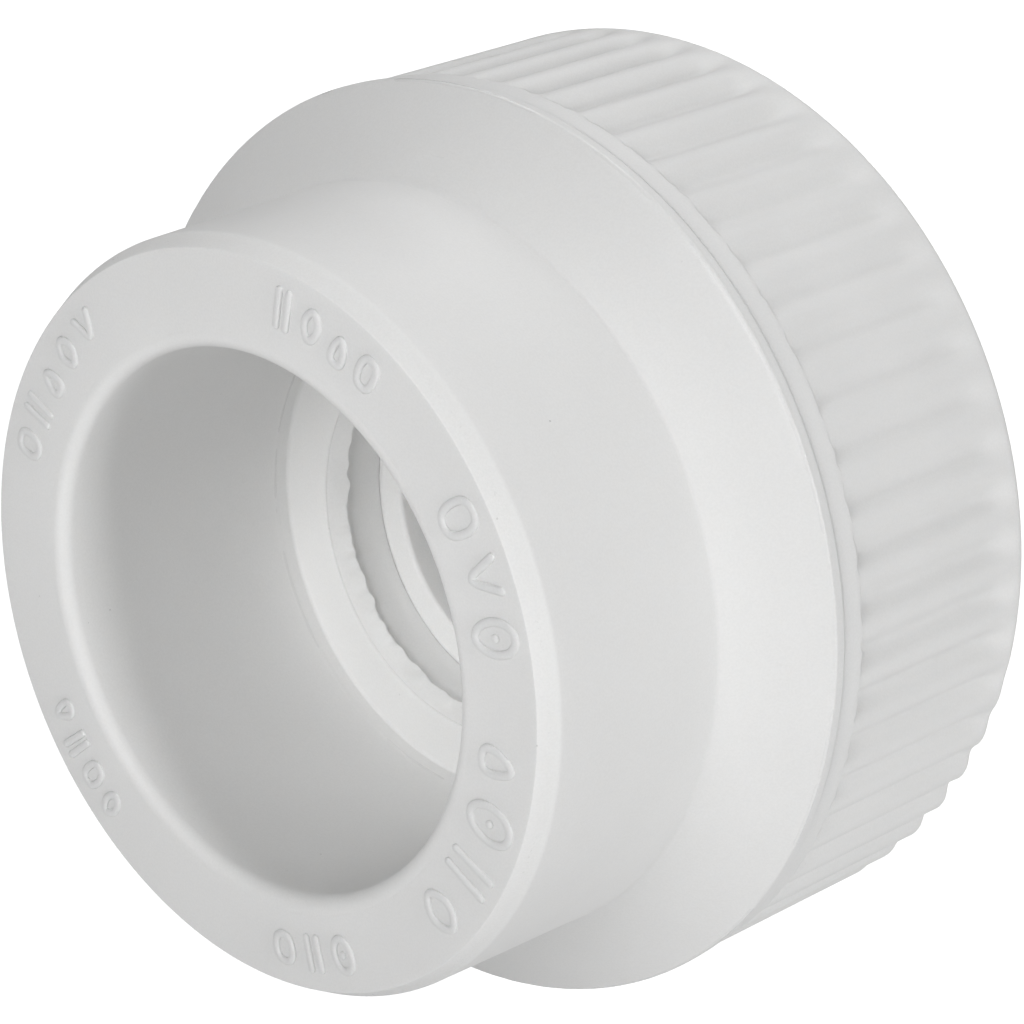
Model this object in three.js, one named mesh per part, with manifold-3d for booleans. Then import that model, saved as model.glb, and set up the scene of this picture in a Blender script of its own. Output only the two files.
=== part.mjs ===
// Pipe union for a 40 mm plastic pipe: a threaded half, a ribbed union nut, a tail piece and an O-ring.
// Millimetres, +Z up. The fitting's axis is the Y axis; the threaded half's socket opens towards -Y and the
// tail piece's socket towards +Y. The origin is the centre of the whole fitting, on its axis.
import * as THREE from 'three';
import { mergeVertices } from 'three/addons/utils/BufferGeometryUtils.js';
import Module from 'manifold-3d';

const wasm = await Module();
wasm.setup();

// Driving dimensions. "at" values are distances along the axis from the threaded half's mouth.
const LENGTH = 50.5;
const ROUND_STEPS = 60; // facets around a full turn

// Pipe sockets, the same at both ends
const SOCKET_MOUTH_RADIUS = 19.65;
const SOCKET_END_RADIUS = 19.4;
const MOUTH_FLARE = 1.0; // radial width of the rounded mouth edge
const MOUTH_FLARE_DEPTH = 0.7;
const OUTER_CHAMFER = 0.8;
const OUTER_CHAMFER_DEPTH = 1.45;

// Threaded half
const FRONT_SOCKET_DEPTH = 22.4;
const NECK_RADIUS_FRONT = 27.45;
const NECK_RADIUS_BACK = 28.1;
const NECK_END_AT = 16.5;
const BAND_RADIUS = 34.5;
const BAND_START_AT = 21.05;
const BAND_END_AT = 22.4;
const BAND_EDGE = 0.4;
const WATERWAY_RADIUS = 14.6;
const COUNTERBORE_RADIUS = 23.9;
const COUNTERBORE_AT = 27.4;
const SPIGOT_END_AT = 33.0;
const SPIGOT_CHAMFER = 1.0;

// Trapezoidal right-hand thread between the spigot and the nut
const THREAD_PITCH = 3.0;
const THREAD_STEPS = 36; // facets per turn of the helix
const THREAD_CREST_WIDTH = 0.75;
const THREAD_ROOT_WIDTH = 1.75;
const THREAD_EMBED = 0.3; // how far a ridge is sunk into the wall that carries it
const MALE_CREST_RADIUS = 29.8;
const MALE_ROOT_RADIUS = 28.2;
const MALE_START_AT = 24.9;
const MALE_END_AT = 31.2;
const FEMALE_CREST_RADIUS = 28.6;
const FEMALE_ROOT_RADIUS = 30.2;
const FEMALE_START_AT = 23.4;
const FEMALE_END_AT = 32.4;

// Union nut
const NUT_START_AT = 22.75;
const NUT_END_AT = 43.0;
const NUT_COLLAR_RADIUS = 34.08; // front of the plain collar, which rises to the ribs' crests
const NUT_RIBS_AT = 24.05;
const NUT_RIBS_FADE_AT = 40.0; // the valleys fade out from here to the rear edge's rounding
const NUT_CREST_RADIUS_FRONT = 34.35;
const NUT_CREST_RADIUS_BACK = 34.95;
const NUT_RIB_DEPTH = 0.65;
const NUT_RIBS = 60;
const NUT_RIB_POINTS = 4; // outline points per rib
const NUT_BACK_ROUND = 0.9;
const NUT_ENTRY_RADIUS = 30.9;
const NUT_LIP_AT = 38.6;
const NUT_LIP_RADIUS = 26.3;

// Tail piece
const TAIL_NOSE_AT = 27.7;
const TAIL_NOSE_RADIUS = 23.5;
const TAIL_WATERWAY_RADIUS = 12.4;
const TAIL_ENTRY_CHAMFER = 0.4;
const TAIL_STOP_AT = 30.0;
const FLANGE_START_AT = 33.3;
const FLANGE_END_AT = 38.3;
const FLANGE_RADIUS = 28.2;
const FLANGE_EDGE = 0.4;
const TAIL_NECK_RADIUS = 25.9;

// O-ring on the tail piece's nose
const O_RING_GROOVE_AT = 29.2;
const O_RING_GROOVE_WIDTH = 2.6;
const O_RING_GROOVE_RADIUS = 21.3;
const O_RING_CORD_RADIUS = 1.0;
const O_RING_STEPS = 8; // facets around the cord

const along = (at) => at - LENGTH / 2;

// A closed solid from any closed geometry, with its faces pointing out.
function toSolid(geometry) {
  const bare = geometry.index ? geometry.toNonIndexed() : geometry.clone();
  bare.deleteAttribute('normal');
  bare.deleteAttribute('uv');
  const merged = mergeVertices(bare, 1e-4);
  const index = Array.from(merged.index.array);
  const triangles = [];
  for (let i = 0; i < index.length; i += 3) {
    const [a, b, c] = index.slice(i, i + 3);
    if (a !== b && b !== c && c !== a) triangles.push(a, b, c);
  }
  const vertProperties = new Float32Array(merged.attributes.position.array);
  const solid = (triVerts) =>
    new wasm.Manifold(new wasm.Mesh({ numProp: 3, vertProperties, triVerts: Uint32Array.from(triVerts) }));
  const outward = solid(triangles);
  return outward.volume() > 0 ? outward : solid(triangles.reverse());
}

function toGeometry(solid) {
  const mesh = solid.getMesh();
  const geometry = new THREE.BufferGeometry();
  geometry.setAttribute('position', new THREE.BufferAttribute(new Float32Array(mesh.vertProperties), 3));
  geometry.setIndex(new THREE.BufferAttribute(new Uint32Array(mesh.triVerts), 1));
  geometry.computeVertexNormals();
  return geometry;
}

// A solid turned about the Y axis from [radius, distance from the front mouth] points. An outline that does
// not start on the axis is a ring's, and closes on itself.
function turned(outline) {
  const points = outline.map(([radius, at]) => new THREE.Vector2(radius, along(at)));
  if (points[0].x > 0) points.push(points[0].clone());
  return toSolid(new THREE.LatheGeometry(points, ROUND_STEPS));
}

// A quarter round between two outline points, bulging towards the corner where they would meet.
function roundEdge(from, corner, to, steps = 3) {
  const curve = new THREE.QuadraticBezierCurve(
    new THREE.Vector2(...from),
    new THREE.Vector2(...corner),
    new THREE.Vector2(...to),
  );
  return curve.getPoints(steps).map((point) => [point.x, point.y]);
}

// One helical ridge: a straight trapezoidal bar bent onto a right-hand helix about the Y axis.
function threadRidge({ rootRadius, crestRadius, startAt, endAt, phase }) {
  const outwards = Math.sign(crestRadius - rootRadius);
  const sunkRoot = rootRadius - outwards * THREAD_EMBED;
  const turns = (endAt - startAt - THREAD_ROOT_WIDTH) / THREAD_PITCH;
  const flank = new THREE.Shape();
  flank.moveTo(-THREAD_ROOT_WIDTH / 2, sunkRoot);
  flank.lineTo(THREAD_ROOT_WIDTH / 2, sunkRoot);
  flank.lineTo(THREAD_ROOT_WIDTH / 2, rootRadius);
  flank.lineTo(THREAD_CREST_WIDTH / 2, crestRadius);
  flank.lineTo(-THREAD_CREST_WIDTH / 2, crestRadius);
  flank.lineTo(-THREAD_ROOT_WIDTH / 2, rootRadius);
  const bar = new THREE.ExtrudeGeometry(flank, {
    depth: turns,
    steps: Math.round(turns * THREAD_STEPS),
    bevelEnabled: false,
  });
  const place = bar.attributes.position;
  const firstAt = startAt + THREAD_ROOT_WIDTH / 2;
  for (let i = 0; i < place.count; i += 1) {
    const turn = place.getZ(i);
    const radius = place.getY(i);
    const angle = turn * 2 * Math.PI + phase;
    const y = along(firstAt + turn * THREAD_PITCH) + place.getX(i);
    place.setXYZ(i, radius * Math.sin(angle), y, radius * Math.cos(angle));
  }
  return toSolid(bar);
}

// Angle at which a helix must start so that it runs through +Z at the given distance from the mouth.
const helixPhase = (startAt, throughAt) =>
  ((startAt + THREAD_ROOT_WIDTH / 2 - throughAt) / THREAD_PITCH) * 2 * Math.PI;

function threadedHalf() {
  const face = NECK_RADIUS_FRONT - OUTER_CHAMFER;
  const body = turned([
    ...roundEdge(
      [SOCKET_MOUTH_RADIUS, MOUTH_FLARE_DEPTH],
      [SOCKET_MOUTH_RADIUS, 0],
      [SOCKET_MOUTH_RADIUS + MOUTH_FLARE, 0],
    ),
    [face, 0],
    [NECK_RADIUS_FRONT, OUTER_CHAMFER_DEPTH],
    [NECK_RADIUS_BACK, NECK_END_AT],
    ...roundEdge([BAND_RADIUS - BAND_EDGE, BAND_START_AT - BAND_EDGE], [BAND_RADIUS, BAND_START_AT], [
      BAND_RADIUS,
      BAND_START_AT + BAND_EDGE,
    ]),
    ...roundEdge([BAND_RADIUS, BAND_END_AT - BAND_EDGE], [BAND_RADIUS, BAND_END_AT], [
      BAND_RADIUS - BAND_EDGE,
      BAND_END_AT,
    ]),
    [MALE_ROOT_RADIUS, BAND_END_AT],
    [MALE_ROOT_RADIUS, SPIGOT_END_AT - SPIGOT_CHAMFER],
    [MALE_ROOT_RADIUS - SPIGOT_CHAMFER, SPIGOT_END_AT],
    [COUNTERBORE_RADIUS, SPIGOT_END_AT],
    [COUNTERBORE_RADIUS, COUNTERBORE_AT],
    [WATERWAY_RADIUS, COUNTERBORE_AT],
    [WATERWAY_RADIUS, FRONT_SOCKET_DEPTH],
    [SOCKET_END_RADIUS, FRONT_SOCKET_DEPTH],
  ]);
  const thread = threadRidge({
    rootRadius: MALE_ROOT_RADIUS,
    crestRadius: MALE_CREST_RADIUS,
    startAt: MALE_START_AT,
    endAt: MALE_END_AT,
    phase: helixPhase(MALE_START_AT, 0),
  });
  return body.add(thread);
}

// The nut's ribbed outside as a solid bar: soft ribs with narrower valleys, one valley at +Z, tapered by the
// mould's draft. The valleys fade out before the rear edge, which is round and plain.
function ribbedBar() {
  const outline = new THREE.Shape();
  const ribPitch = (2 * Math.PI) / NUT_RIBS;
  for (let i = 0; i < NUT_RIBS * NUT_RIB_POINTS; i += 1) {
    const inRib = (i % NUT_RIB_POINTS) / NUT_RIB_POINTS;
    const sink = ((1 + Math.cos(2 * Math.PI * inRib)) / 2) ** 1.4;
    const radius = NUT_CREST_RADIUS_BACK - NUT_RIB_DEPTH * sink;
    const angle = (i / NUT_RIB_POINTS) * ribPitch;
    const point = [radius * Math.sin(angle), -radius * Math.cos(angle)];
    if (i === 0) outline.moveTo(...point);
    else outline.lineTo(...point);
  }
  const draft = (NUT_CREST_RADIUS_BACK - NUT_CREST_RADIUS_FRONT) / (NUT_END_AT - NUT_RIBS_AT);
  const fadeRadius = NUT_CREST_RADIUS_BACK - draft * (NUT_END_AT - NUT_RIBS_FADE_AT);
  // Each section is [distance, crest radius, share of the valleys' depth].
  const sections = [
    [NUT_RIBS_AT, NUT_CREST_RADIUS_FRONT, 1],
    [NUT_RIBS_FADE_AT, fadeRadius, 1],
    [NUT_END_AT - NUT_BACK_ROUND, NUT_CREST_RADIUS_BACK, 0],
    [NUT_END_AT - NUT_BACK_ROUND * 0.3, NUT_CREST_RADIUS_BACK - NUT_BACK_ROUND * 0.3, 0],
    [NUT_END_AT, NUT_CREST_RADIUS_BACK - NUT_BACK_ROUND, 0],
  ];
  const steps = sections.length - 1;
  const bar = new THREE.ExtrudeGeometry(outline, { depth: steps, steps, bevelEnabled: false });
  const place = bar.attributes.position;
  for (let i = 0; i < place.count; i += 1) {
    const [at, crestRadius, valleyShare] = sections[Math.round(place.getZ(i))];
    const drawn = Math.hypot(place.getX(i), place.getY(i));
    const sunk = (NUT_CREST_RADIUS_BACK - drawn) * valleyShare;
    const scale = (crestRadius - sunk) / drawn;
    place.setXYZ(i, place.getX(i) * scale, place.getY(i) * scale, along(at));
  }
  bar.rotateX(-Math.PI / 2);
  return toSolid(bar);
}

function unionNut() {
  const collar = turned([
    [0, NUT_START_AT],
    [NUT_COLLAR_RADIUS, NUT_START_AT],
    [NUT_CREST_RADIUS_FRONT, NUT_RIBS_AT],
    [NUT_CREST_RADIUS_FRONT - 1, NUT_RIBS_AT + 1],
    [0, NUT_RIBS_AT + 1],
  ]);
  const bore = turned([
    [0, NUT_START_AT - 1],
    [NUT_ENTRY_RADIUS + 1, NUT_START_AT - 1],
    [FEMALE_ROOT_RADIUS, NUT_START_AT + NUT_ENTRY_RADIUS - FEMALE_ROOT_RADIUS],
    [FEMALE_ROOT_RADIUS, NUT_LIP_AT],
    [NUT_LIP_RADIUS, NUT_LIP_AT],
    [NUT_LIP_RADIUS, NUT_END_AT + 1],
    [0, NUT_END_AT + 1],
  ]);
  const thread = threadRidge({
    rootRadius: FEMALE_ROOT_RADIUS,
    crestRadius: FEMALE_CREST_RADIUS,
    startAt: FEMALE_START_AT,
    endAt: FEMALE_END_AT,
    phase: helixPhase(FEMALE_START_AT, THREAD_PITCH / 2),
  });
  return ribbedBar().add(collar).subtract(bore).add(thread);
}

function tailPiece() {
  const face = TAIL_NECK_RADIUS - OUTER_CHAMFER;
  const grooveEndAt = O_RING_GROOVE_AT + O_RING_GROOVE_WIDTH;
  return turned([
    [TAIL_WATERWAY_RADIUS + TAIL_ENTRY_CHAMFER, TAIL_NOSE_AT],
    [TAIL_NOSE_RADIUS - FLANGE_EDGE, TAIL_NOSE_AT],
    [TAIL_NOSE_RADIUS, TAIL_NOSE_AT + FLANGE_EDGE],
    [TAIL_NOSE_RADIUS, O_RING_GROOVE_AT],
    [O_RING_GROOVE_RADIUS, O_RING_GROOVE_AT],
    [O_RING_GROOVE_RADIUS, grooveEndAt],
    [TAIL_NOSE_RADIUS, grooveEndAt],
    [TAIL_NOSE_RADIUS, FLANGE_START_AT],
    [FLANGE_RADIUS - FLANGE_EDGE, FLANGE_START_AT],
    [FLANGE_RADIUS, FLANGE_START_AT + FLANGE_EDGE],
    [FLANGE_RADIUS, FLANGE_END_AT],
    [TAIL_NECK_RADIUS, FLANGE_END_AT],
    [TAIL_NECK_RADIUS, LENGTH - OUTER_CHAMFER_DEPTH],
    [face, LENGTH],
    ...roundEdge(
      [SOCKET_MOUTH_RADIUS + MOUTH_FLARE, LENGTH],
      [SOCKET_MOUTH_RADIUS, LENGTH],
      [SOCKET_MOUTH_RADIUS, LENGTH - MOUTH_FLARE_DEPTH],
    ),
    [SOCKET_END_RADIUS, TAIL_STOP_AT],
    [TAIL_WATERWAY_RADIUS, TAIL_STOP_AT],
    [TAIL_WATERWAY_RADIUS, TAIL_NOSE_AT + TAIL_ENTRY_CHAMFER],
  ]);
}

function oRing() {
  const centreRadius = COUNTERBORE_RADIUS - 0.3 - O_RING_CORD_RADIUS;
  const centreAt = O_RING_GROOVE_AT + O_RING_GROOVE_WIDTH / 2;
  const cord = [];
  for (let i = 0; i < O_RING_STEPS; i += 1) {
    const angle = (i / O_RING_STEPS) * 2 * Math.PI;
    cord.push([
      centreRadius + O_RING_CORD_RADIUS * Math.cos(angle),
      centreAt + O_RING_CORD_RADIUS * Math.sin(angle),
    ]);
  }
  return turned(cord);
}

function piece(name, solid, colour, roughness) {
  const material = new THREE.MeshStandardMaterial({ color: colour, roughness, metalness: 0 });
  const mesh = new THREE.Mesh(toGeometry(solid), material);
  mesh.name = name;
  return mesh;
}

const WHITE_PLASTIC = 0xf0f0ee;
const BLACK_RUBBER = 0x1b1b1b;
const union = new THREE.Group();
union.add(piece('threaded_half', threadedHalf(), WHITE_PLASTIC, 0.5));
union.add(piece('union_nut', unionNut(), WHITE_PLASTIC, 0.55));
union.add(piece('tail_piece', tailPiece(), WHITE_PLASTIC, 0.5));
union.add(piece('o_ring', oRing(), BLACK_RUBBER, 0.8));

export default union;
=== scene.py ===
"""The looks of a white plastic pipe union: a threaded half, a ribbed union nut, a tail piece and an O-ring.

Every outline is given in millimetres as (radius, distance along the axis from the threaded half's mouth). It
is turned about the fitting's axis, which is the Y axis. Angles run from +Z towards +X.
"""

import math

import bmesh
import bpy
import numpy as np
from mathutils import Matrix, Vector


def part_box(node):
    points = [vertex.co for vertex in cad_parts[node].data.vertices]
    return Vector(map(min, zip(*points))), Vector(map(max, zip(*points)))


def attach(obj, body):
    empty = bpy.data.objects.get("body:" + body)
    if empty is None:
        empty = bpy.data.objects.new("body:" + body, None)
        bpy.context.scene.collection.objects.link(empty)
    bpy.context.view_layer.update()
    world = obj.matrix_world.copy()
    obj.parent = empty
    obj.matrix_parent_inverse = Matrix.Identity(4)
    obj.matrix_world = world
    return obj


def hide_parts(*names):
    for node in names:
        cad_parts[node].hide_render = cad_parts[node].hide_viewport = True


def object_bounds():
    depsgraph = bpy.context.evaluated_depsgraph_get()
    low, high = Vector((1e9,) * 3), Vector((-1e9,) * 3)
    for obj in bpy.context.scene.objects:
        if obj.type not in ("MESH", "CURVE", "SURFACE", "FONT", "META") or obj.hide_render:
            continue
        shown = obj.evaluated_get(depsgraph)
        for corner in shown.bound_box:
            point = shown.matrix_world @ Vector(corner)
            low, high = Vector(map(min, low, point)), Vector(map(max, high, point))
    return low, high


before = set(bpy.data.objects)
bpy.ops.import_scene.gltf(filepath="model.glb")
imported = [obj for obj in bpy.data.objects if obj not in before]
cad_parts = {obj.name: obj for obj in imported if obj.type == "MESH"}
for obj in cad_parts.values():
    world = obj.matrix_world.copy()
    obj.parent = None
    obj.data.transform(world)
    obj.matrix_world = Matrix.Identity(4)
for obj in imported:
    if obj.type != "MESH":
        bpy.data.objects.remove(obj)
cad_low, cad_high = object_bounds()

MM = 0.001
TURN = 2 * math.pi
half_low, half_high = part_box("threaded_half")
nut_low, nut_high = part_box("union_nut")
tail_low, tail_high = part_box("tail_piece")
ring_low, ring_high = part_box("o_ring")


def along(y):
    """Distance in millimetres of a place on the Y axis from the threaded half's mouth."""
    return (y - half_low.y) / MM


# Threaded half
SOCKET_MOUTH_RADIUS = 19.65
SOCKET_END_RADIUS = 19.4
SOCKET_DEPTH = 22.4
MOUTH_ROUNDING = 0.95
MOUTH_LINE_RADIUS = 20.9  # a faint turning line on the face, round the mouth
FACE_RADIUS = 26.65
NECK_RADIUS_FRONT = 27.45
NECK_RADIUS_BACK = 28.1
CHAMFER_DEPTH = 1.45
NECK_END_AT = 16.5
BAND_RADIUS = half_high.z / MM
BAND_START_AT = 21.1
BAND_END_AT = 22.4
COLLAR_RADIUS = 34.22  # front of the nut's plain collar, where the band slopes down to it
SPIGOT_RADIUS = 28.2
SPIGOT_END_AT = along(half_high.y)
COUNTERBORE_RADIUS = 23.9
COUNTERBORE_AT = 27.4
WATERWAY_RADIUS = 14.6
LIP_RADIUS = 14.25  # ragged lip left where the sprue was cut out of the waterway
LIP_AT = 23.7

# Thread
PITCH = 3.0
CREST_WIDTH = 0.75
ROOT_WIDTH = 1.75
THREAD_HEIGHT = 1.6
THREAD_ROW = 0.1  # spacing of the mesh's rows on a thread
RUN_OUT = 0.8  # axial travel over which a thread's end fades away

# Union nut
NUT_START_AT = BAND_END_AT + 0.01
NUT_END_AT = along(nut_high.y)
RIBS_AT = 24.05
RIBS_FADE_AT = (39.2, 42.2)  # where the valleys start and end to fade out
CREST_RADIUS_FRONT = 34.35
CREST_RADIUS_BACK = 34.95
RIB_DEPTH = 0.95  # 0.3 deeper than in CAD, for darker valleys
VALLEY_SHARPNESS = 1.4  # above 1, the valleys are narrower than the ribs
RIBS = 60
RIB_COLUMNS = 12
RIB_START_ROWS = np.array([-0.3, -0.15, 0, 0.08, 0.16, 0.24, 0.32])
NUT_BACK_ROUNDING = 0.9
NUT_BORE_RADIUS = 30.2
NUT_LIP_AT = 38.6
NUT_LIP_RADIUS = 26.3

# Tail piece and O-ring
TAIL_NOSE_AT = along(tail_low.y)
TAIL_END_AT = along(tail_high.y)
TAIL_NOSE_RADIUS = 23.5
TAIL_WATERWAY_RADIUS = 12.4
TAIL_STOP_AT = 30.0
TAIL_NECK_RADIUS = 25.9
FLANGE_RADIUS = 28.2
FLANGE_AT = (33.3, 38.3)
GROOVE_AT = (29.2, 31.8)
GROOVE_RADIUS = 21.3
CORD_RADIUS = (ring_high.y - ring_low.y) / 2 / MM
RING_RADIUS = ring_high.z / MM - CORD_RADIUS
RING_AT = along((ring_high.y + ring_low.y) / 2)

COLUMNS = 360  # mesh columns round a plain turned piece
ARC_STEP = 15  # degrees of rounding between mesh rows


# ---- Turned meshes ----

def unit(vector):
    return vector / np.linalg.norm(vector)


def rounded_outline(corners, step):
    """Points of a closed outline. Each corner is (radius, at, rounding), and a rounding becomes an arc.
    Straight runs have a point every step, and one close to each end, so that roundings shade crisply."""
    places = [np.array(corner[:2]) for corner in corners]
    arcs = []
    for i, (_, _, rounding) in enumerate(corners):
        corner = places[i]
        if rounding == 0:
            arcs.append([corner])
            continue
        back = unit(places[i - 1] - corner)
        ahead = unit(places[(i + 1) % len(places)] - corner)
        half_angle = math.acos(back @ ahead) / 2
        centre = corner + unit(back + ahead) * rounding / math.sin(half_angle)
        reach = rounding / math.tan(half_angle)
        start, end = corner + back * reach - centre, corner + ahead * reach - centre
        bend = math.pi - 2 * half_angle
        steps = max(2, math.ceil(math.degrees(bend) / ARC_STEP))
        shares = np.linspace(0, 1, steps + 1)
        arcs.append([
            centre + (math.sin((1 - s) * bend) * start + math.sin(s * bend) * end) / math.sin(bend)
            for s in shares
        ])
    outline = []
    for i, arc in enumerate(arcs):
        outline.extend(arc)
        run = arcs[(i + 1) % len(arcs)][0] - arc[-1]
        length = np.linalg.norm(run)
        shares = list(np.linspace(0, 1, max(1, math.ceil(length / step)) + 1)[1:-1])
        margin = 0.06 / length
        if margin < 0.25:
            shares = [margin, *(s for s in shares if 2 * margin < s < 1 - 2 * margin), 1 - margin]
        outline.extend(arc[-1] + run * s for s in shares)
    return np.array(outline)


def new_piece(name, points, faces):
    mesh = bpy.data.meshes.new(name)
    mesh.from_pydata([tuple(point) for point in points], [], [tuple(face) for face in faces])
    shell = bmesh.new()
    shell.from_mesh(mesh)
    if shell.calc_volume(signed=True) < 0:
        bmesh.ops.reverse_faces(shell, faces=shell.faces)
    shell.to_mesh(mesh)
    shell.free()
    mesh.shade_smooth()
    piece = bpy.data.objects.new(name, mesh)
    bpy.context.scene.collection.objects.link(piece)
    return piece


def grid_faces(rows, columns):
    """Four-sided faces of a grid that closes on itself both ways."""
    row = np.arange(rows)[:, None] * columns
    column = np.arange(columns)[None, :]
    next_row, next_column = np.roll(row, -1), np.roll(column, -1)
    corners = [row + column, next_row + column, next_row + next_column, row + next_column]
    return np.stack(corners, axis=-1).reshape(-1, 4)


def turned(name, outline, shape=None, columns=COLUMNS):
    """A ring turned about the Y axis. shape(radius, at, angle) may change every point's radius and place."""
    angle = np.linspace(0, TURN, columns, endpoint=False)[None, :] + np.zeros((len(outline), 1))
    radius = outline[:, :1] + np.zeros_like(angle)
    at = outline[:, 1:] + np.zeros_like(angle)
    if shape:
        radius, at = shape(radius, at, angle)
    points = np.stack([radius * np.sin(angle), at, radius * np.cos(angle)], axis=-1).reshape(-1, 3) * MM
    return new_piece(name, points + [0, half_low.y, 0], grid_faces(len(outline), columns))


def ease(value):
    """0 below 0, 1 above 1, and a smooth step between them."""
    value = np.clip(value, 0, 1)
    return value * value * (3 - 2 * value)


def near(value, centre, width):
    """1 where value is centre, falling smoothly to 0 at a distance of width."""
    return ease(1 - np.abs(value - centre) / width)


def ripple(angle, seed, lowest, highest):
    """An irregular wave round the axis, mostly between -1 and 1, of lowest to highest waves in a turn."""
    draws = np.random.default_rng(seed)
    total = 0
    counts = np.arange(lowest, highest + 1)
    for count in counts:
        total = total + draws.normal() * np.sin(count * angle + draws.uniform(0, TURN))
    return total / math.sqrt(len(counts))


def thread(at, angle, phase, crests_at):
    """Height of a rounded trapezoidal right-hand thread. Its crest line runs from crests_at[0] to [1]."""
    turns = at / PITCH - angle / TURN - phase
    nearest = np.round(turns)
    off_crest = np.abs(turns - nearest) * PITCH
    crest_at = (nearest + angle / TURN + phase) * PITCH
    height = ease((ROOT_WIDTH / 2 - off_crest) / ((ROOT_WIDTH - CREST_WIDTH) / 2))
    ends = ease((crest_at - crests_at[0]) / RUN_OUT) * ease((crests_at[1] - crest_at) / RUN_OUT)
    return THREAD_HEIGHT * height * ends


# ---- Threaded half ----

def shape_half(radius, at, angle):
    """Cuts the turning line and the spigot's thread, and makes the lip and the shoulder's edge uneven."""
    on_face = (at < 0.01) & (radius > SOCKET_MOUTH_RADIUS + MOUTH_ROUNDING)
    cut = np.clip(0.3 + 0.6 * ripple(angle, 11, 2, 40), 0, 1)
    at = at + 0.02 * cut * near(radius, MOUTH_LINE_RADIUS, 0.09) * on_face
    # The sprue was cut out of the waterway by hand, which left a ragged lip.
    lip = near(at, LIP_AT, 1.0) * (radius < WATERWAY_RADIUS + 0.45)
    at = at + lip * (0.16 * ripple(angle, 21, 4, 22) + 0.08 * ripple(angle, 22, 23, 60))
    radius = radius + lip * 0.07 * ripple(angle, 24, 12, 90)
    on_spigot = (radius > SPIGOT_RADIUS - 0.01) & (at > 24) & (at < SPIGOT_END_AT - 0.9)
    radius = radius + on_spigot * thread(at, angle, 0, (25.775, 30.325))
    edge = near(at, BAND_START_AT, 0.45) * (radius > BAND_RADIUS - 1)
    at = at + edge * 0.012 * ripple(angle, 23, 40, 160)
    return radius, at


def threaded_half():
    outline = [
        (SOCKET_MOUTH_RADIUS, 0, MOUTH_ROUNDING),
        *((MOUTH_LINE_RADIUS + side, 0, 0) for side in (-0.1, -0.05, 0, 0.05, 0.1)),
        (FACE_RADIUS, 0, 0.1),
        (NECK_RADIUS_FRONT, CHAMFER_DEPTH, 0.6),
        (NECK_RADIUS_BACK, NECK_END_AT, 0.4),
        (BAND_RADIUS, BAND_START_AT, 0.3),
        (BAND_RADIUS, BAND_END_AT - 0.5, 0.25),
        (COLLAR_RADIUS, BAND_END_AT, 0.02),
        (SPIGOT_RADIUS, BAND_END_AT, 0.3),
        *((SPIGOT_RADIUS, at, 0) for at in np.arange(24.1, SPIGOT_END_AT - 0.9, THREAD_ROW)),
        (SPIGOT_RADIUS, SPIGOT_END_AT - 0.8, 0.1),
        (SPIGOT_RADIUS - 0.8, SPIGOT_END_AT, 0.2),
        (COUNTERBORE_RADIUS, SPIGOT_END_AT, 0.3),
        (COUNTERBORE_RADIUS, COUNTERBORE_AT, 0.3),
        (WATERWAY_RADIUS + 1.2, COUNTERBORE_AT, 0.1),
        (WATERWAY_RADIUS + 1.1, TAIL_NOSE_AT - 0.04, 0.05),
        (WATERWAY_RADIUS, TAIL_NOSE_AT - 0.04, 0.05),
        (WATERWAY_RADIUS, LIP_AT + 0.45, 0.1),
        (LIP_RADIUS, LIP_AT + 0.15, 0.08),
        (LIP_RADIUS, LIP_AT, 0.06),
        *((LIP_RADIUS + 0.8 * rise, LIP_AT - rise, 0) for rise in (0.25, 0.5, 0.75)),
        (WATERWAY_RADIUS + 0.45, SOCKET_DEPTH + 0.3, 0.05),
        (WATERWAY_RADIUS + 0.6, SOCKET_DEPTH + 0.15, 0.05),
        (WATERWAY_RADIUS + 0.6, SOCKET_DEPTH, 0.12),
        (SOCKET_END_RADIUS, SOCKET_DEPTH, 0.25),
    ]
    return turned("threaded_half_body", rounded_outline(outline, 0.8), shape_half)


# ---- Union nut ----

def shape_nut(radius, at, angle):
    """Sinks a valley between every two ribs, one of them at +Z, and cuts the thread in the bore."""
    outside = (radius > NUT_BORE_RADIUS + 1.5) & (at > RIBS_AT - 0.01)
    valley = ((1 + np.cos(angle * RIBS)) / 2) ** VALLEY_SHARPNESS
    starts = ease((at - RIBS_AT) / 0.3)
    # The valleys fade out before the plain rear edge, a little later low on the right.
    low_right = near(angle, math.radians(122), math.radians(35))
    fades = 1 - ease((at - RIBS_FADE_AT[0] - 2 * low_right) / (RIBS_FADE_AT[1] - RIBS_FADE_AT[0]))
    # The ribs are made uneven, and flatter on the right, where they should hardly show.
    flatter = near(angle, math.radians(56), math.radians(42))
    depth = RIB_DEPTH * (1 - 0.45 * flatter + 0.06 * ripple(angle, 33, 2, 24))
    # Behind the collar on the right, a shallow dip darkens the start of the ribs.
    shrunk = ease((at - RIBS_AT) / 5) * (1 - ease((at - RIBS_AT - 6) / 5))
    shrunk = shrunk * near(angle, math.radians(52), math.radians(34))
    # Small burrs stand along the collar's edge, most of all where it ends a valley.
    collar_edge = near(at, RIBS_AT, 0.45) * (radius > COLLAR_RADIUS)
    burr = collar_edge * np.clip(ripple(angle, 31, 30, 240), 0, 2.2) * (0.35 + valley)
    radius = radius - outside * (depth * valley * starts * fades + 0.12 * shrunk) + 0.03 * burr
    at = at + collar_edge * (0.1 * ripple(angle, 32, 20, 200) + 0.12 * valley)
    in_bore = (radius < NUT_BORE_RADIUS + 0.01) & (at > 23.5) & (at < 33)
    radius = radius - in_bore * thread(at, angle, 0.5, (24.275, 31.525))
    return radius, at


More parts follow.
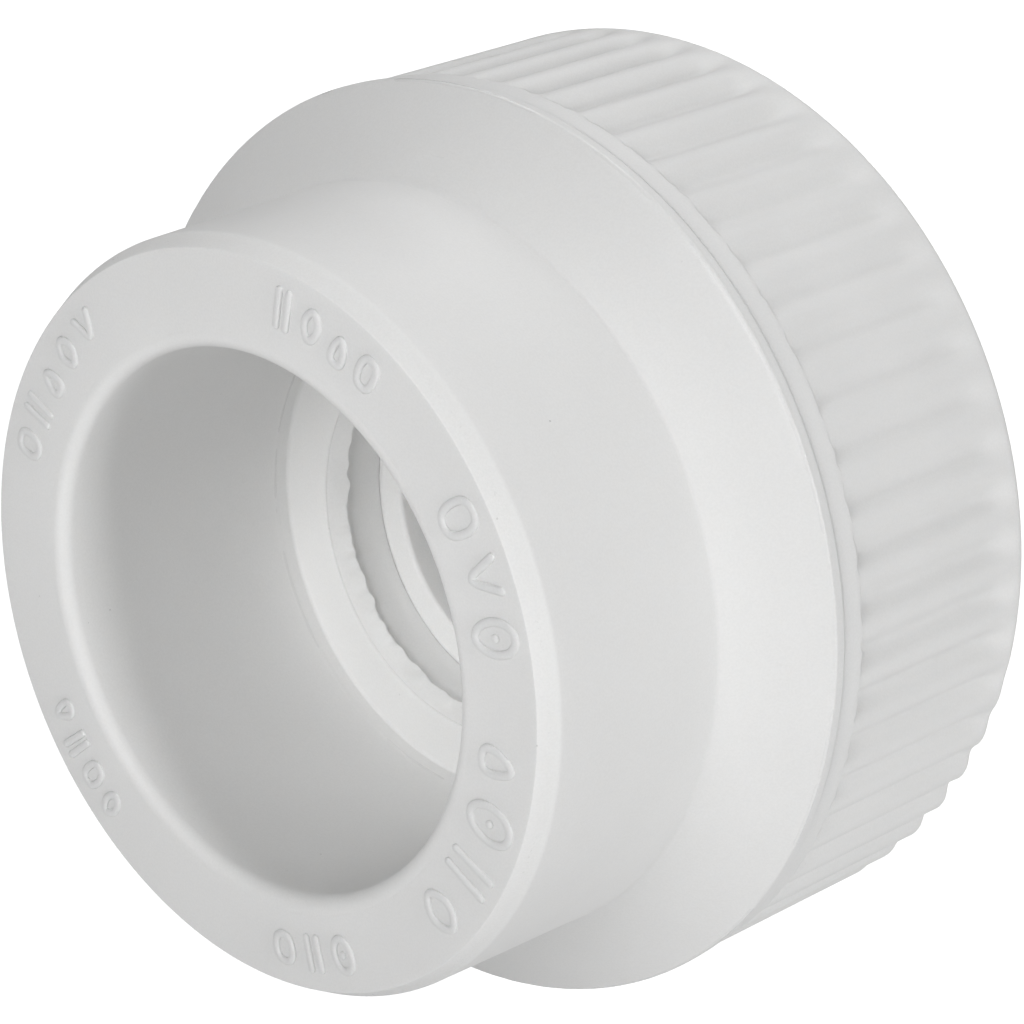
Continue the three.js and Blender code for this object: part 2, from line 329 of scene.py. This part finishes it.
def union_nut():
    outline = [
        (COLLAR_RADIUS, NUT_START_AT, 0.02),
        *((CREST_RADIUS_FRONT + 0.03 * (at - RIBS_AT), at, 0) for at in RIBS_AT + RIB_START_ROWS),
        (CREST_RADIUS_BACK, NUT_END_AT, NUT_BACK_ROUNDING),
        (32.5, NUT_END_AT, 0),
        (NUT_LIP_RADIUS, NUT_END_AT, 0.4),
        (NUT_LIP_RADIUS, NUT_LIP_AT, 0.2),
        (NUT_BORE_RADIUS, NUT_LIP_AT, 0.4),
        *((NUT_BORE_RADIUS, at, 0) for at in np.arange(32.9, 23.6, -THREAD_ROW)),
        (NUT_BORE_RADIUS, NUT_START_AT + 0.7, 0.1),
        (NUT_BORE_RADIUS + 0.7, NUT_START_AT, 0.1),
    ]
    return turned("union_nut_body", rounded_outline(outline, 0.8), shape_nut, RIBS * RIB_COLUMNS)


# ---- Tail piece and O-ring ----

def tail_piece():
    outline = [
        (TAIL_WATERWAY_RADIUS, TAIL_NOSE_AT, 0.35),
        (TAIL_NOSE_RADIUS, TAIL_NOSE_AT, 0.4),
        (TAIL_NOSE_RADIUS, GROOVE_AT[0], 0.15),
        (GROOVE_RADIUS, GROOVE_AT[0], 0.15),
        (GROOVE_RADIUS, GROOVE_AT[1], 0.15),
        (TAIL_NOSE_RADIUS, GROOVE_AT[1], 0.15),
        (TAIL_NOSE_RADIUS, FLANGE_AT[0], 0.2),
        (FLANGE_RADIUS, FLANGE_AT[0], 0.4),
        (FLANGE_RADIUS, FLANGE_AT[1], 0.4),
        (TAIL_NECK_RADIUS, FLANGE_AT[1], 0.3),
        (TAIL_NECK_RADIUS, TAIL_END_AT - CHAMFER_DEPTH, 0.9),
        (TAIL_NECK_RADIUS - 0.8, TAIL_END_AT, 0.1),
        (SOCKET_MOUTH_RADIUS, TAIL_END_AT, MOUTH_ROUNDING),
        (SOCKET_END_RADIUS, TAIL_STOP_AT, 0.5),
        (TAIL_WATERWAY_RADIUS, TAIL_STOP_AT, 0.3),
    ]
    return turned("tail_piece_body", rounded_outline(outline, 0.8))


def o_ring():
    """A moulded rubber ring with the thin line that its mould's two halves leave inside and outside."""
    turns = np.linspace(0, TURN, 40, endpoint=False)
    flash = 0.03 * (np.abs(np.sin(turns)) < 0.1)
    cord = CORD_RADIUS - 0.03 + flash
    outline = np.stack([RING_RADIUS + cord * np.cos(turns), RING_AT + cord * np.sin(turns)], axis=-1)
    return turned("o_ring_body", outline)


# ---- Moulded marks on the threaded half's face ----

MARK_WIDTH = 0.62
MARK_HEIGHT = 0.2
CIRCLE = [(math.cos(i * TURN / 16), math.sin(i * TURN / 16)) for i in range(16)]
# Plain figures in a square from -1 to 1: (points, whether the line closes on itself)
FIGURES = {
    "diamond": [([(0, -1), (0.9, 0), (0, 1), (-0.9, 0)], True)],
    "triangle": [([(-0.9, -0.9), (0.9, -0.9), (0, 0.9)], True)],
    "square": [([(-0.8, -0.8), (0.8, -0.8), (0.8, 0.8), (-0.8, 0.8)], True)],
    "target": [([(0.85 * x, 0.95 * y) for x, y in CIRCLE], True), ([(-0.01, 0), (0.01, 0)], False)],
    "bars": [([(-0.5, -0.9), (-0.5, 0.9)], False), ([(0.5, -0.9), (0.5, 0.9)], False)],
    "chevron": [([(-0.8, 0.8), (0, -0.8), (0.8, 0.8)], False)],
}
# (first angle, last angle, radius at the middle, half the height, figures)
MARK_ARCS = [
    (7, 33, 24.05, 1.35, ("bars", "diamond", "triangle", "square")),
    (52, 81, 23.8, 1.9, ("square", "chevron", "target")),
    (92, 136, 23.8, 1.9, ("triangle", "target", "bars", "diamond")),
    (155, 177, 23.85, 1.3, ("target", "bars", "square")),
    (217, 242, 24.05, 1.3, ("diamond", "square", "bars", "triangle")),
    (286, 323, 24.05, 1.3, ("square", "bars", "triangle", "diamond", "chevron")),
]


def smoothed(points, closed, rounds=3):
    """The line through the points with its corners cut, finer each round."""
    points = np.array(points, float)
    for _ in range(rounds):
        ahead = np.roll(points, -1, axis=0) if closed else points[1:]
        here = points if closed else points[:-1]
        cut = np.stack([here * 0.75 + ahead * 0.25, here * 0.25 + ahead * 0.75], axis=1).reshape(-1, 2)
        points = cut if closed else np.vstack([points[:1], cut, points[-1:]])
    return points


def raised_line(path, closed, sides=16):
    """Points and faces of a flat tube along a path on the face plane, round at its ends. Its lower half is
    sunk in the face. Path points are millimetres in the X and Z directions."""
    if closed:
        heading = np.roll(path, -1, axis=0) - np.roll(path, 1, axis=0)
        widths = np.ones(len(path))
    else:
        heading = np.gradient(path, axis=0)
        caps = np.linspace(0.97, 0, 6)[:, None]
        heads = [path[0] - unit(heading[0]) * caps * MARK_WIDTH / 2]
        tails = [path[-1] + unit(heading[-1]) * caps[::-1] * MARK_WIDTH / 2]
        path = np.vstack([*heads, path[1:-1], *tails])
        heading = np.vstack([np.tile(heading[0], (6, 1)), heading[1:-1], np.tile(heading[-1], (6, 1))])
        widths = np.concatenate([np.sqrt(1 - caps[:, 0] ** 2), np.ones(len(path) - 12),
                                 np.sqrt(1 - caps[::-1, 0] ** 2)])
    side = np.stack([-heading[:, 1], heading[:, 0]], axis=1)
    side /= np.linalg.norm(side, axis=1)[:, None]
    turns = np.linspace(0, TURN, sides, endpoint=False)
    across = np.sign(np.cos(turns)) * np.abs(np.cos(turns)) ** 0.7 * MARK_WIDTH / 2
    up = np.sign(np.sin(turns)) * np.abs(np.sin(turns)) ** 0.8 * MARK_HEIGHT
    points = np.zeros((len(path), sides, 3))
    flat = path[:, None] + side[:, None] * (across * widths[:, None])[..., None]
    points[..., 0], points[..., 2] = flat[..., 0], flat[..., 1]
    points[..., 1] = -up * widths[:, None] ** 0.5
    faces = grid_faces(len(path), sides)
    if not closed:
        faces = [*faces[:-sides], list(range(sides)), [len(path) * sides - 1 - i for i in range(sides)]]
    return points.reshape(-1, 3), faces


def face_marks():
    points, faces = [], []
    for first, last, middle, half_height, figures in MARK_ARCS:
        span = math.radians(last - first) / len(figures)
        half_width = min(span * middle / 2 * 0.66, half_height * 0.8)
        for i, figure in enumerate(figures):
            angle = math.radians(first) + span * (i + 0.5)
            for line, closed in FIGURES[figure]:
                path = smoothed(line, closed)
                turn = angle + path[:, 0] * half_width / middle
                radius = middle + path[:, 1] * half_height
                on_face = np.stack([radius * np.sin(turn), radius * np.cos(turn)], axis=1)
                made, sides = raised_line(on_face, closed)
                offset = sum(len(block) for block in points)
                points.append(made)
                faces.extend([corner + offset for corner in side] for side in sides)
    return new_piece("face_marks", np.vstack(points) * MM + [0, half_low.y, 0], faces)


# ---- Materials ----

class Shader:
    """A material's node tree, built one node at a time."""

    def __init__(self, name):
        self.material = bpy.data.materials.new(name)
        self.material.use_nodes = True
        self.tree = self.material.node_tree
        self.surface = self.tree.nodes["Principled BSDF"]
        place = self.node("TexCoord").outputs["Object"]
        self.place = self.node("VectorMath", {0: place, "Scale": 1 / MM}, operation="SCALE").outputs[0]
        x, self.y, z = self.node("SeparateXYZ", {0: self.place}).outputs
        squares = self.math("ADD", self.math("POWER", x, 2.0), self.math("POWER", z, 2.0))
        self.radius = self.math("SQRT", squares)

    def node(self, kind, inputs=None, **settings):
        made = self.tree.nodes.new("ShaderNode" + kind)
        for key, value in settings.items():
            setattr(made, key, value)
        for key, value in (inputs or {}).items():
            self.feed(made.inputs[key], value)
        return made

    def feed(self, socket, value):
        """Links a socket to another node's output, or sets it to a plain value."""
        if isinstance(value, bpy.types.NodeSocket):
            self.tree.links.new(value, socket)
        else:
            socket.default_value = value

    def math(self, operation, a, b=0.0):
        return self.node("Math", {0: a, 1: b}, operation=operation).outputs[0]

    def scaled(self, value, low, high, to_low=0.0, to_high=1.0):
        """value eased from low to high onto to_low to to_high."""
        inputs = {0: value, 1: low, 2: high, 3: to_low, 4: to_high}
        return self.node("MapRange", inputs, interpolation_type="SMOOTHSTEP").outputs[0]

    def noise(self, size, detail=2.0, place=None):
        """Noise about 0.5 with features of about size millimetres."""
        inputs = {"Vector": place or self.place, "Scale": 1 / size, "Detail": detail}
        return self.node("TexNoise", inputs).outputs[0]

    def stretched(self, stretch):
        """The place with each direction divided by its stretch, for long thin features."""
        inputs = {0: self.place, 1: [1 / s for s in stretch]}
        return self.node("VectorMath", inputs, operation="MULTIPLY").outputs[0]

    def within(self, value, centre, width):
        """1 where value is centre, falling smoothly to 0 at a distance of width."""
        off = self.math("ABSOLUTE", self.math("SUBTRACT", value, centre))
        return self.scaled(off, 0.0, width, 1.0, 0.0)

    def at(self, millimetres):
        """A distance from the threaded half's mouth as a place on the Y axis, in millimetres."""
        return millimetres + half_low.y / MM

    def bump(self, heights):
        """Bumps from (height socket, depth in millimetres) pairs, one over the other."""
        normal = None
        for height, depth in heights:
            inputs = {"Height": height, "Distance": depth * MM, "Strength": 1.0}
            if normal:
                inputs["Normal"] = normal
            normal = self.node("Bump", inputs).outputs[0]
        self.feed(self.surface.inputs["Normal"], normal)

    def scratches(self, size, stretch, width):
        """Fine broken lines: the places where a stretched noise crosses its middle value."""
        wander = self.noise(size, 1.0, self.stretched(stretch))
        line = self.within(wander, 0.5, width)
        broken = self.scaled(self.noise(size * 0.6, 2.0), 0.52, 0.6)
        return self.math("MULTIPLY", line, broken)

    def specks(self, spacing, size, share):
        """Small spots of dust in about a share of the cells of a grid with the given spacing."""
        cells = self.node("TexVoronoi", {"Vector": self.place, "Scale": 1 / spacing})
        close = self.scaled(cells.outputs["Distance"], size / spacing * 0.6, size / spacing, 1.0, 0.0)
        draw = self.node("SeparateColor", {0: cells.outputs["Color"]}).outputs[0]
        chosen = self.math("LESS_THAN", draw, share)
        return self.math("MULTIPLY", close, chosen)


def white_plastic(name, roughness, dust_patch):
    """Moulded polypropylene. A little light soaks in, and the skin is satin with a fine grain. It has specks
    in patches of about dust_patch millimetres, fine scratches on the cone, and polished edges."""
    shade = Shader(name)
    surface = shade.surface.inputs
    surface["IOR"].default_value = 1.49
    surface["Subsurface Weight"].default_value = 0.25
    surface["Subsurface Radius"].default_value = (1.0, 0.95, 0.9)
    surface["Subsurface Scale"].default_value = 1.5 * MM

    specks = shade.specks(1.9, 0.085, 0.16)
    dusty = shade.scaled(shade.noise(dust_patch, 1.0), 0.42, 0.62)
    dirt = shade.math("MULTIPLY", shade.math("MULTIPLY", specks, dusty), 0.28)
    grain = shade.scaled(shade.noise(0.16, 1.0), 0.25, 0.75, -0.013, 0.013)
    pale = shade.math("ADD", shade.scaled(shade.noise(9.0, 2.0), 0.3, 0.7, 0.84, 0.854), grain)
    tone = shade.math("SUBTRACT", pale, dirt)
    warm = shade.math("MULTIPLY", tone, 0.993)
    shade.feed(surface["Base Color"], shade.node("CombineColor", {0: tone, 1: tone, 2: warm}).outputs[0])

    chamfer = shade.math(
        "MULTIPLY",
        shade.within(shade.radius, (FACE_RADIUS + NECK_RADIUS_FRONT) / 2, 0.6),
        shade.within(shade.y, shade.at(CHAMFER_DEPTH / 2), 1.1),
    )
    shoulder = shade.within(shade.y, shade.at(BAND_START_AT), 0.35)
    sparkle = shade.scaled(shade.noise(0.25, 2.0), 0.56, 0.64)
    on_chamfer = shade.math("MULTIPLY", shade.math("MULTIPLY", chamfer, sparkle), 0.3)
    on_shoulder = shade.math("MULTIPLY", shoulder, 0.44)
    rubbed = shade.scaled(shade.noise(7.0, 3.0), 0.4, 0.52)
    polished = shade.math("MULTIPLY", shade.math("MAXIMUM", on_chamfer, on_shoulder), rubbed)
    satin = shade.scaled(shade.noise(3.0, 3.0), 0.3, 0.7, roughness - 0.03, roughness + 0.03)
    shade.feed(surface["Roughness"], shade.math("SUBTRACT", satin, polished))

    edges = shade.math("MAXIMUM", chamfer, shoulder)
    on_cone = shade.within(shade.y, shade.at((NECK_END_AT + BAND_START_AT) / 2), 3.2)
    lines = shade.scratches(5.0, (3.0, 1.0, 0.35), 0.006)
    shade.bump([
        (shade.noise(12.0, 1.0), 0.05),
        (shade.noise(0.16, 2.0), 0.004),
        (shade.math("MULTIPLY", edges, shade.noise(0.12, 2.0)), 0.04),
        (shade.math("MULTIPLY", lines, on_cone), 0.012),
    ])
    return shade.material


def black_rubber():
    shade = Shader("black_rubber")
    surface = shade.surface.inputs
    tone = shade.scaled(shade.noise(2.0, 3.0), 0.3, 0.7, 0.011, 0.018)
    shade.feed(surface["Base Color"], shade.node("CombineColor", {0: tone, 1: tone, 2: tone}).outputs[0])
    shade.feed(surface["Roughness"], shade.scaled(shade.noise(0.8, 3.0), 0.3, 0.7, 0.5, 0.62))
    shade.bump([(shade.noise(0.1, 2.0), 0.01)])
    return shade.material


# ---- The pieces ----

def place_piece(piece, material, body, slot, *nodes):
    piece.data.materials.append(material)
    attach(piece, body)
    if nodes:
        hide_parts(*nodes)


half_plastic = white_plastic("white_plastic_satin", 0.58, 14.0)
nut_plastic = white_plastic("white_plastic_nut", 0.6, 17.0)
place_piece(threaded_half(), half_plastic, "threaded_half", "white_plastic", "threaded_half")
place_piece(face_marks(), half_plastic, "threaded_half", "white_plastic")
place_piece(union_nut(), nut_plastic, "nut", "white_plastic_nut", "union_nut")
place_piece(tail_piece(), half_plastic, "tail", "white_plastic", "tail_piece")
place_piece(o_ring(), black_rubber(), "tail", "black_rubber", "o_ring")


# ---- Studio ----

CAMERA_AZIMUTH = 42.26
CAMERA_ELEVATION = 20.35
CAMERA_DISTANCE = 232.2 * MM
CAMERA_LENS = 109.7
AIM_RIGHT = 1.16 * MM  # where the camera points, from the fitting's centre
AIM_UP = 1.47 * MM
FLOOR_SIDE = 4.0
FLOOR_GLOW = 0.39
LIGHT_DISTANCE = 0.7


def direction(azimuth, elevation):
    """Unit vector from the fitting. Azimuth 0 is out of the mouth and 90 is along +X, in degrees."""
    a, e = math.radians(azimuth), math.radians(elevation)
    return Vector((math.sin(a) * math.cos(e), -math.cos(a) * math.cos(e), math.sin(e)))


def add_camera():
    back = direction(CAMERA_AZIMUTH, CAMERA_ELEVATION)
    right = Vector((0, 0, 1)).cross(back).normalized()
    up = back.cross(right)
    lens = bpy.data.cameras.new("camera")
    lens.lens = CAMERA_LENS
    lens.clip_start = 0.01
    camera = bpy.data.objects.new("camera", lens)
    camera.location = (cad_low + cad_high) / 2 + right * AIM_RIGHT + up * AIM_UP + back * CAMERA_DISTANCE
    camera.rotation_euler = (-back).to_track_quat("-Z", "Y").to_euler()
    bpy.context.scene.collection.objects.link(camera)
    bpy.context.scene.camera = camera


def aim_light(lamp, azimuth, elevation, target):
    """Puts a light at its distance from the target and turns it to face it."""
    away = direction(azimuth, elevation)
    light = bpy.data.objects.new(lamp.name, lamp)
    light.location = target + away * LIGHT_DISTANCE
    light.rotation_euler = away.to_track_quat("Z", "Y").to_euler()
    bpy.context.scene.collection.objects.link(light)


def add_softbox(name, azimuth, elevation, width, height, power):
    box = bpy.data.lights.new(name, "AREA")
    box.shape = "RECTANGLE"
    box.size = width
    box.size_y = height
    box.energy = power
    aim_light(box, azimuth, elevation, Vector((0, 0, 0)))


def add_snoot(name, azimuth, elevation, spread, power):
    """A narrow, soft-edged beam into the socket, so that its stop is bright."""
    beam = bpy.data.lights.new(name, "SPOT")
    beam.spot_size = math.radians(spread)
    beam.spot_blend = 1.0
    beam.shadow_soft_size = 0.02
    beam.energy = power
    aim_light(beam, azimuth, elevation, Vector((0, half_low.y + SOCKET_DEPTH / 2 * MM, 0)))


def add_floor():
    """A light table: pure white to the camera, with a softer glow on the fitting that stands on it."""
    steps = 8
    shell = bmesh.new()
    bmesh.ops.create_grid(shell, x_segments=steps, y_segments=steps, size=FLOOR_SIDE / 2)
    mesh = bpy.data.meshes.new("floor")
    shell.to_mesh(mesh)
    shell.free()
    floor = bpy.data.objects.new("floor", mesh)
    floor.location.z = cad_low.z
    bpy.context.scene.collection.objects.link(floor)
    shade = Shader("floor_white")
    surface = shade.surface.inputs
    surface["Base Color"].default_value = (0.25, 0.25, 0.25, 1)
    surface["Roughness"].default_value = 0.8
    surface["Emission Color"].default_value = (1, 1, 1, 1)
    seen = shade.node("LightPath").outputs["Is Camera Ray"]
    shade.feed(surface["Emission Strength"], shade.scaled(seen, 0.0, 1.0, FLOOR_GLOW, 1.0))
    mesh.materials.append(shade.material)


def add_world(brightness):
    world = bpy.data.worlds.new("world")
    world.use_nodes = True
    world.node_tree.nodes["Background"].inputs["Color"].default_value = (1, 1, 1, 1)
    world.node_tree.nodes["Background"].inputs["Strength"].default_value = brightness
    bpy.context.scene.world = world


add_camera()
add_floor()
add_world(0.03)
add_softbox("softbox_key", 16, 28, 0.45, 0.42, 2.42)
add_softbox("softbox_strip", 83.5, 12, 0.075, 0.26, 1.35)
add_softbox("softbox_side", 112, 12, 0.3, 0.25, 0.4)
add_softbox("softbox_top", 213, 60, 0.6, 0.5, 2.4)
add_softbox("softbox_back", 205, 8, 0.4, 0.14, 0.75)
add_snoot("snoot_socket", 17, 15, 3.2, 6.0)
bpy.context.scene.view_settings.view_transform = "Standard"
